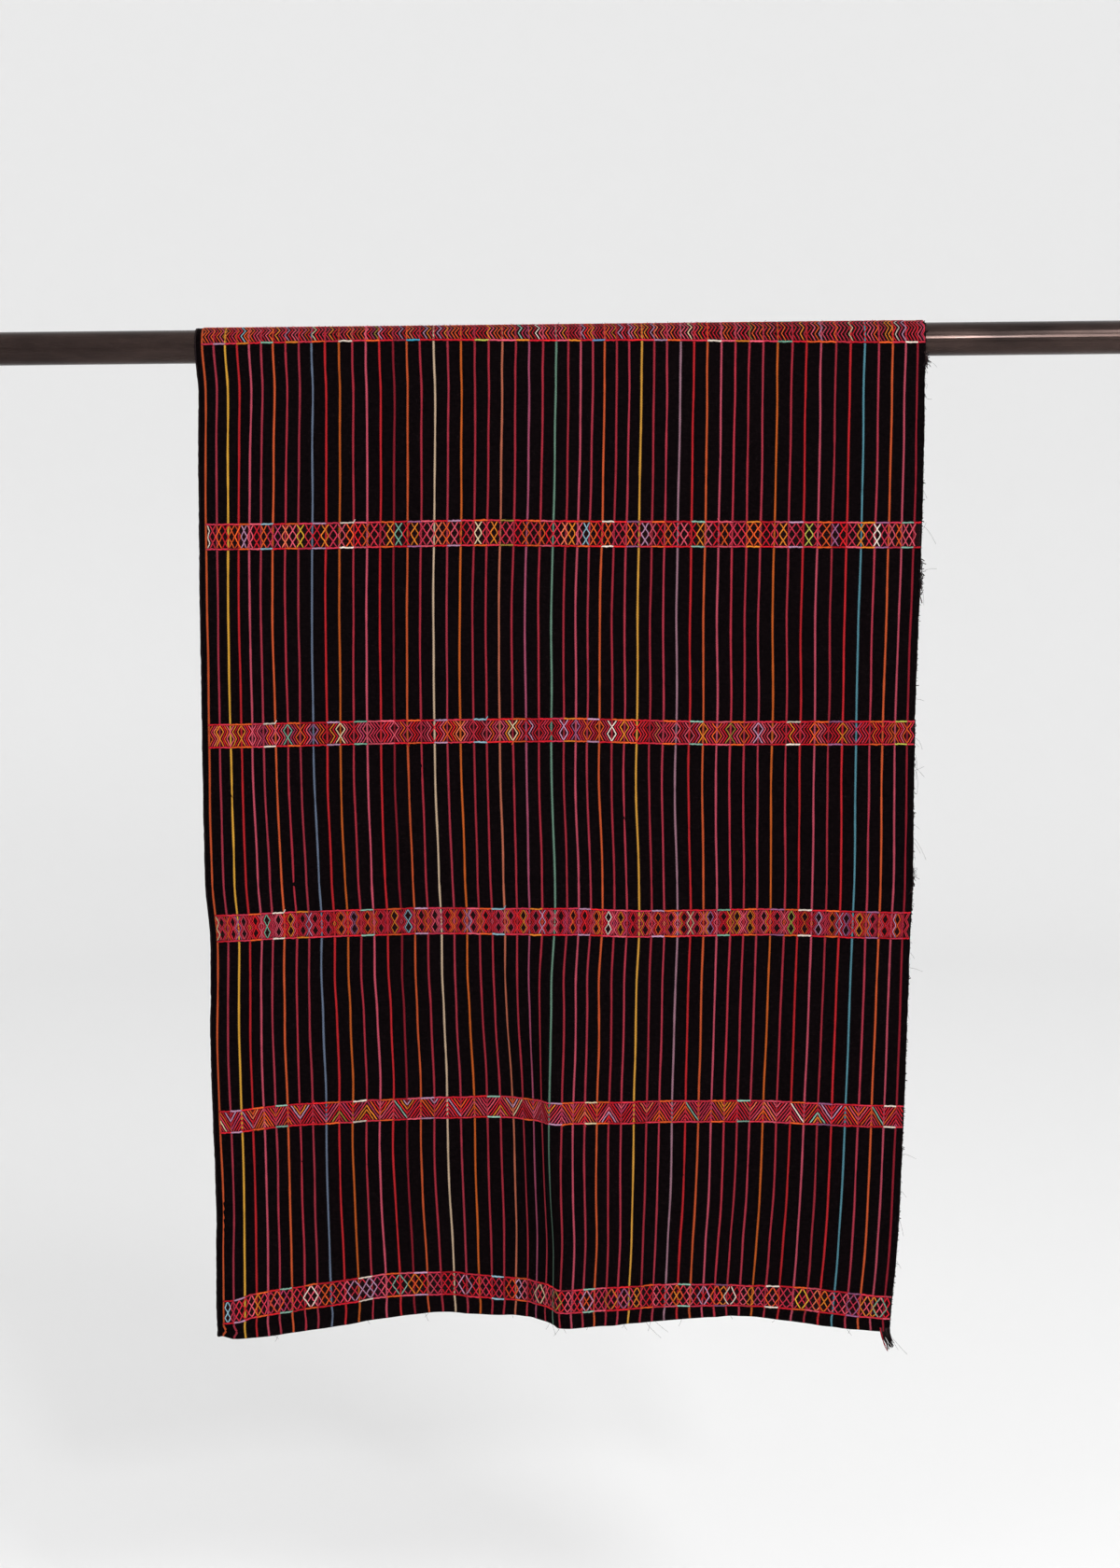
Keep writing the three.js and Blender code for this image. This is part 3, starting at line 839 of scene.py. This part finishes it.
def slanted_band(band):
    """Slanted yarns that lean to and fro between the stripes. Those that end on a stripe meet there
    in arrows, pointing up and down in turn, whose two arms share their colours."""
    shortest, spacing = 0.08, 0.235
    share = np.linspace(0, 1, 6)
    arrows = [pick_colours(4) for _ in range(INTERVALS + 2)]
    for stripe, colour in band.crosses.items():
        arrows[stripe][1 + (stripe + 1) % 2] = colour
    widths = np.diff(STRIPES)
    for k in range(INTERVALS + 1):
        left = STRIPES[k]
        right = STRIPES[k + 1] if k < INTERVALS else BAND_END
        slope = widths[min(k, INTERVALS - 1)]
        falls = k % 2 == 0
        low, high = (k, k + 1) if falls else (k + 1, k)
        colours = arrows[low] + [band.accents.get(k, pick_colours(1)[0])] + arrows[high]
        tops = left - slope + 1.2 + slope * spacing * np.arange(len(colours))
        start = np.clip((left - tops) / slope, 0, 1)
        end = np.clip((right - tops) / slope, 0, 1)
        long_enough = end - start > shortest
        t = start[:, None] + (end - start)[:, None] * share
        across = tops[:, None] + slope * t
        if not falls:
            across = left + right - across
        chosen = list(np.array(colours)[long_enough])
        band.run(across[long_enough], t[long_enough], chosen)


def lattice_band(band):
    """Two rows of small diamonds, with tall bright diamonds over them."""
    t = np.linspace(0, 1, 13)
    middles = repeat_places((0, 99), (0.4, 54.2))
    colours = pick_colours(len(middles), {0: band.edge_colour})
    small = np.gradient(middles)[:, None] / 2 * zigzag((0, 1, 0, 1, 0), t)
    band.run(middles[:, None] + small, t, colours)
    band.run(middles[:, None] - small, t, colours)
    tall = nearest_repeat(band.accents, middles)
    tall_middles = np.array([middles[min(k, len(middles) - 2)] for k in tall])
    tall_t = np.linspace(0.02, 0.98, 11)
    reach = 7.2
    shape = reach * zigzag((0.08, 1, 0.08), tall_t, (0.02, 0.5, 0.98))
    for side in (1, -1):
        band.run(tall_middles[:, None] + side * shape, tall_t, list(tall.values()), lift=YARN_LIFT + 0.3)


# Each band's name, pattern, middle along the path, height, accent colours, border colours, and tails:
# border yarns whose cut ends stand out, by stripe interval, border and the way the end leans
FRONT = QUARTER_WRAP
BANDS = [
    ("band_over_rod", wavy_band, 11.8, 28.8,
     "orange 19 41 57 76 111 154 168 196 211 255 272 303 350 394 412 478 530 566 590 640 680, amber 30 84 "
     "134 231 290 366 440 505 607 693, lilac 92 203 243.6 385.3 424.5 457.1 625.5 710, cream 118.9 492.8 "
     "655.8, olive 181.6 555.1, white 342 702.2, light_blue 47.7, mint 321.4",
     "amber 3 7 24 28 41, orange 13 36 46 51, white 11 39 53, lilac 1 35, teal 5 44, turquoise 16, "
     "lime 21, blue 30",
     (), {}),
    ("band_crossed", crossed_band, FRONT + 190.5, 26.8,
     "orange 23.3 41.4 66.9 153.7 169.9 249.7 329 345.3 418 440.3 478.5 535.6 559.9 637.7 707, amber 128.3 "
     "217.6 296.6 374.5 511 594.2 670, lilac 47.7 455, yellow 104.3, teal 202.2, cream 281.5, "
     "light_blue 395.7, lime 620.5, purple 646, white 685.7",
     "orange 3 7 14 21 25 29 35 47, lilac 9 19 45, purple 16 33 51, white 11 31, mint 38 53, "
     "light_blue 5, olive 23, amber 42",
     ((11, "top", 1), (40, "top", -1)), {"edge": "white"}),
    ("band_looped", looped_band, FRONT + 390.5, 25,
     "orange 8 19 30 42 47 53, purple 9 29, cream 11 24, amber 33 49, teal 7, white 32, red 34, olive 41, "
     "lilac 43",
     "orange 3 7 16 24 32 36 41 47 51, lilac 10 18 30, white 5 45, teal 12, light_blue 21, amber 28, "
     "mint 38, purple 48, lime 53",
     ((5, "top", 1), (15, "low", 1), (21, "top", 1), (24, "low", -1)), {"ground": "deep_red"}),
    ("band_diamonds", diamond_band, FRONT + 588.5, 28.6,
     "orange 10 28 30 35 46 53, amber 6 24 32 41, purple 11 39 49, teal 4, light_blue 15, red 29, "
     "white 31, lime 45",
     "orange 3 14 21 36 42 48, lilac 16 29 35, white 5 46, amber 7 25, purple 44 51, mint 12, "
     "light_blue 22, teal 40",
     ((5, "top", 1), (22, "top", 1)),
     {"edge": "cream",
      "crosses": "orange 1 13 17 19 21 51, purple 2 20, lilac 8 26, magenta 28 33, cream 38"}),
    ("band_slanted", slanted_band, FRONT + 789, 24,
     "mint 14 38 52, orange 16 28 53, lilac 2 18, cream 23, white 46",
     "orange 3 9 13 24 28 36 40 46, lilac 1 16 27, mint 5 21 42, white 11 53, cream 30, purple 48",
     ((7, "top", 1), (29, "low", 1)),
     {"ground": "deep_red",
      "crosses": "orange 5 19 20 25 29 31 36 40 44 50 51, amber 7 12 15 22 41, lilac 1 23 32, "
                 "cream 0, salmon 3, olive 10, mint 48"}),
    ("band_lattice", lattice_band, FRONT + 986, 27,
     "orange 61.1 120.2 302.2 498 539 606 660, lilac 137.3 154.6 249 398.7 524, amber 200 428.9 708, "
     "white 97.5 555.6, purple 443 690, mint 184.4, cream 335.1, olive 366.7, yellow 633.9, teal 724.1",
     "orange 3 7 13 23 35 47, mint 5 30 38, lilac 1 15, white 11 45, purple 41 51, light_blue 21",
     (), {"edge": "light_blue", "drift": LATTICE_DRIFT}),
    ("band_back_1", diamond_band, -FRONT - 159, 28,
     "mint 6, amber 19, white 27, light_blue 40", "white 9, mint 33", (), {}),
    ("band_back_2", slanted_band, -FRONT - 359, 25,
     "cream 8, mint 22, light_blue 35", "lilac 14, white 42", (), {}),
    ("band_back_3", looped_band, -FRONT - 559, 26,
     "lime 5, white 18, mint 31, purple 46", "teal 3, lilac 24, white 39", (), {}),
    ("band_back_4", crossed_band, -FRONT - 759, 27.5,
     "yellow 90, mint 240, white 430, lilac 610", "light_blue 12, white 28", (), {}),
    ("band_back_5", lattice_band, -FRONT - 959, 26.5,
     "orange 190 660, white 70, lilac 300, yellow 420, mint 560", "mint 7, lilac 20, white 45", (), {}),
]

for name, pattern, middle, height, accents, borders, tails, others in BANDS:
    band = Band(middle, height, accents, borders, **others)
    pattern(band)
    band.tails_drawn(tails)
    keep(band.yarns.make(name, EMBROIDERY))


# The selvedge on the left, the raw edge on the right and what frays from them
EDGE_STEP = 4
SELVEDGE_WIDTH = 1.9
# The raw edge's yarns: how far each one lies inside the edge, and how much it strays
RAW_YARNS = ((0.4, 0.55), (1.4, 0.35), (-0.4, 0.6))


def make_edges():
    edges = Yarns()
    path = spaced(BACK_HEM + 1, EDGE_STEP, FRONT_HEM - 1)
    beads = 1 + 0.1 * rng.standard_normal((1, len(path)))
    selvedge = 0.5 + 0.18 * np.sin(path / 9)[None] + 0.1 * rng.standard_normal((1, len(path)))
    thick = SELVEDGE_WIDTH * beads
    edges.lay(selvedge, path[None], -FACE, ["black"], thick, thick)
    for inset, jag in RAW_YARNS:
        raw = CLOTH_WIDTH - inset + jag * rng.standard_normal((1, len(path)))
        edges.lay(raw, path[None], -FACE, ["black"], 1.0, 1.0, uneven=0.2)
    return edges.make("edge_yarns", LOOSE_YARN)


edge_yarns = keep(make_edges())

# Threads under the front hem: places across the cloth, lengths and leans
HEM_HAIRS = (
    (60, 5, 0.6), (64, 9, -0.3), (150, 4, 0.5), (206, 9, 0.3), (211, 6, -0.7), (300, 4, 0.2),
    (352, 8, -0.4), (356, 12, 0.2), (359, 7, 0.6), (372, 10, -0.5), (376, 6, 0.3), (402, 4, -0.2),
    (440, 8, 0.4), (443, 5, -0.6), (464, 18, 0.7), (470, 9, -0.2), (474, 13, 0.9), (504, 8, -0.3),
    (560, 4, 0.4), (610, 5, -0.5), (686, 9, 0.4), (690, 6, -0.3), (728, 23, 0.7), (729, 19, 0.4),
)
# The raw edge's small knots: places down it, and how far each one spreads
EDGE_KNOTS = ((44, 4), (262, 10), (566, 5))
HAIRS_PER_KNOT = 60
FRONT_FUZZ, BACK_FUZZ = 1150, 300
LONG_HAIRS = 34
FACE_FUZZ = 230
EDGE_SHADES = ("black", "black", "black", "brown")
FUZZ_SHADES = ("black", "dark_red", "crimson", "brown", "deep_pink")


def raggedness(path):
    """The raw edge is ragged in some places and clean in others."""
    return np.clip(0.75 + 0.5 * np.sin(path / 13) + 0.35 * np.sin(path / 5.3), 0.35, 1.4)


def make_frays():
    """Fuzz and threads on the raw edge, below the hem and over the rod."""
    frays = Yarns()
    lines, colours, thick = [], [], []
    share = np.linspace(0, 1, 5)[:, None]

    def hair(root, direction, length, bend, thickness, shades=EDGE_SHADES):
        """One loose thread from root, first along direction, then bending by bend."""
        lines.append(root + length * (share * unit(np.array(direction)) + share ** 2 * np.array(bend)))
        colours.append(rng.choice(shades))
        thick.append(thickness)

    path = np.concatenate([
        rng.uniform(-22, FRONT_HEM - 4, FRONT_FUZZ),
        rng.uniform(BACK_HEM + 4, -22, BACK_FUZZ),
    ])
    for knot, spread in EDGE_KNOTS:
        path = np.concatenate([path, rng.normal(knot, spread, HAIRS_PER_KNOT)])
    roots, _ = on_cloth(np.full(len(path), CLOTH_WIDTH - 0.6), path)
    for root, path_place in zip(roots, path):
        heading = (1, rng.normal(0, 0.4), rng.normal(-0.05, 0.9))
        bend = (rng.normal(-0.3, 0.4), rng.normal(0, 0.3), rng.normal(-0.3, 0.6))
        knotted = any(abs(path_place - knot) < 2 * spread for knot, spread in EDGE_KNOTS)
        length = rng.uniform(2, 6) if knotted else rng.uniform(0.8, 2.4)
        hair(root, heading, length, bend, rng.uniform(0.3, 1.0) * raggedness(path_place))
    long_places = rng.uniform(40, FRONT_HEM - 30, LONG_HAIRS)
    for path_place, length in zip(long_places, rng.uniform(5, 17, LONG_HAIRS)):
        root, _ = on_cloth(CLOTH_WIDTH - 0.5, path_place)
        bend = (rng.normal(-0.1, 0.4), rng.normal(0, 0.3), rng.normal(-0.4, 0.5))
        hair(root, (1, rng.normal(0, 0.4), rng.normal(-0.2, 0.7)), length, bend, 0.2)
    for across, length, lean in HEM_HAIRS:
        root, _ = on_cloth(across, FRONT_HEM - 1)
        hair(root, (lean, -0.1, -1), length, (0.5 * lean, 0, rng.uniform(-0.3, 0.1)), 0.24)
    fuzz = rng.uniform(3, CLOTH_WIDTH - 4, FACE_FUZZ)
    roots, normals = on_cloth(fuzz, rng.uniform(-7, 6, FACE_FUZZ))
    for root, normal in zip(roots, normals):
        spread = normal + (rng.normal(0, 0.8), 0, 0)
        bend = (rng.normal(0, 0.5), 0, rng.uniform(-0.5, 0))
        hair(root + normal * 0.9, spread, rng.uniform(0.8, 2.2), bend, rng.uniform(0.16, 0.3), FUZZ_SHADES)
    thick = np.array(thick)[:, None]
    frays.add(lines, (0, 1, 0), colours, thick, thick, section=THIN_YARN)
    return frays.make("edge_frays", LOOSE_YARN)


edge_frays = keep(make_frays())

# The loose warp ends at the lower right corner
TUFT_STRANDS = 26
TUFT_POINTS = 10
TUFT_WIDTH = 10


def make_tuft():
    """Strands that lean to the right and draw together, with a few stray ones."""
    tuft = Yarns()
    lines = []
    steps = np.linspace(0, 1, TUFT_POINTS)[:, None]
    for k in range(TUFT_STRANDS):
        share = k / (TUFT_STRANDS - 1)
        across = CLOTH_WIDTH - TUFT_WIDTH + (TUFT_WIDTH - 0.6) * share
        root, _ = on_cloth(across, FRONT_HEM - 5)
        fall = 13 + 6 * (1 - share) + rng.uniform(-4, 2.5)
        lean = 9 - 4.5 * share + rng.uniform(-2, 2)
        spread = rng.uniform(-2.6, 2.6)
        sway = np.sin(steps * 6 + rng.uniform(0, 6)) * rng.uniform(0.3, 1.1) * steps
        drop = np.concatenate([lean * steps ** 1.4 + sway, spread * steps, -(fall + 5) * steps], 1)
        lines.append(root + drop)
    colours = ["dark_red"] * 2 + list(rng.choice(["black", "brown"], TUFT_STRANDS - 2, p=[0.8, 0.2]))
    width = np.linspace(1.6, 0.45, TUFT_POINTS)[None] * np.ones((TUFT_STRANDS, 1))
    tuft.add(lines, (0, 1, 0), colours, width, width, uneven=0.2)
    return tuft.make("corner_tuft", LOOSE_YARN)


tuft = keep(make_tuft())
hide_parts("fray_tuft")

# The rod keeps its own shape
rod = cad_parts["rod"]
rod.data.materials.clear()
rod.data.materials.append(ROD_METAL)

# A pale round stage whose rim curves up, in millimetres
FLOOR_HEIGHT = -1500
FLOOR_RADIUS = 4500
WALL_RADIUS = 6000
WALL_HEIGHT = 5000
STAGE_SIDES = 96
RIM_STEPS = 12


def make_stage():
    curve_radius = WALL_RADIUS - FLOOR_RADIUS
    rise = math.pi / 2 * np.arange(RIM_STEPS + 1) / RIM_STEPS
    radii = np.append(FLOOR_RADIUS + curve_radius * np.sin(rise), WALL_RADIUS)
    heights = FLOOR_HEIGHT + np.append(curve_radius * (1 - np.cos(rise)), WALL_HEIGHT)
    turn = 2 * math.pi * np.arange(STAGE_SIDES) / STAGE_SIDES
    verts = [(0, 0, FLOOR_HEIGHT)]
    for radius, height in zip(radii, heights):
        verts += list(zip(radius * np.cos(turn), radius * np.sin(turn), [height] * STAGE_SIDES))
    faces = []
    for side in range(STAGE_SIDES):
        after = (side + 1) % STAGE_SIDES
        faces.append((0, 1 + side, 1 + after))
        for low in range(1, len(verts) - STAGE_SIDES, STAGE_SIDES):
            high = low + STAGE_SIDES
            faces.append((low + side, high + side, high + after, low + after))
    look = Look("stage_paint")
    look.put(look.shader, {"Base Color": (0.84, 0.84, 0.84, 1), "Roughness": 0.9})
    return mesh_object("stage", verts, faces, look.material)


make_stage()


# Light
def area_light(name, place, aim, size, watts):
    data = bpy.data.lights.new(name, "AREA")
    data.size = size
    data.energy = watts
    made = add_object(name, data)
    made.location = place
    made.rotation_euler = (Vector(aim) - Vector(place)).to_track_quat("-Z", "Y").to_euler()


area_light("key", (1.9, -3.0, 2.2), (0, 0, -0.4), 1.0, 72)
area_light("fill", (-2.6, -2.6, 0.8), (0, 0, -0.5), 2.0, 25)
area_light("glint", (0.9, -3.0, 0.64), (0.42, 0, 0), 0.3, 34)
world = bpy.data.worlds.new("studio")
world.use_nodes = True
background = world.node_tree.nodes["Background"]
background.inputs["Color"].default_value = (1, 1, 1, 1)
background.inputs["Strength"].default_value = 0.95
scene.world = world
scene.view_settings.view_transform = "Standard"

# The camera, at the photograph's angle: a little below the rod, tilted down and slightly rolled
CAMERA_PLACE = (0, -2.5, -0.141)
CAMERA_PITCH = 7.0
CAMERA_ROLL = 0.6
SENSOR_HEIGHT = 36.0
LENS = 56.1
lens = bpy.data.cameras.new("camera")
lens.sensor_fit = "VERTICAL"
lens.sensor_height = SENSOR_HEIGHT
lens.lens = LENS
camera = add_object("camera", lens)
tilt = Matrix.Rotation(math.radians(90 - CAMERA_PITCH), 4, "X")
roll = Matrix.Rotation(-math.radians(CAMERA_ROLL), 4, "Z")
camera.matrix_world = Matrix.Translation(CAMERA_PLACE) @ tilt @ roll
scene.camera = camera
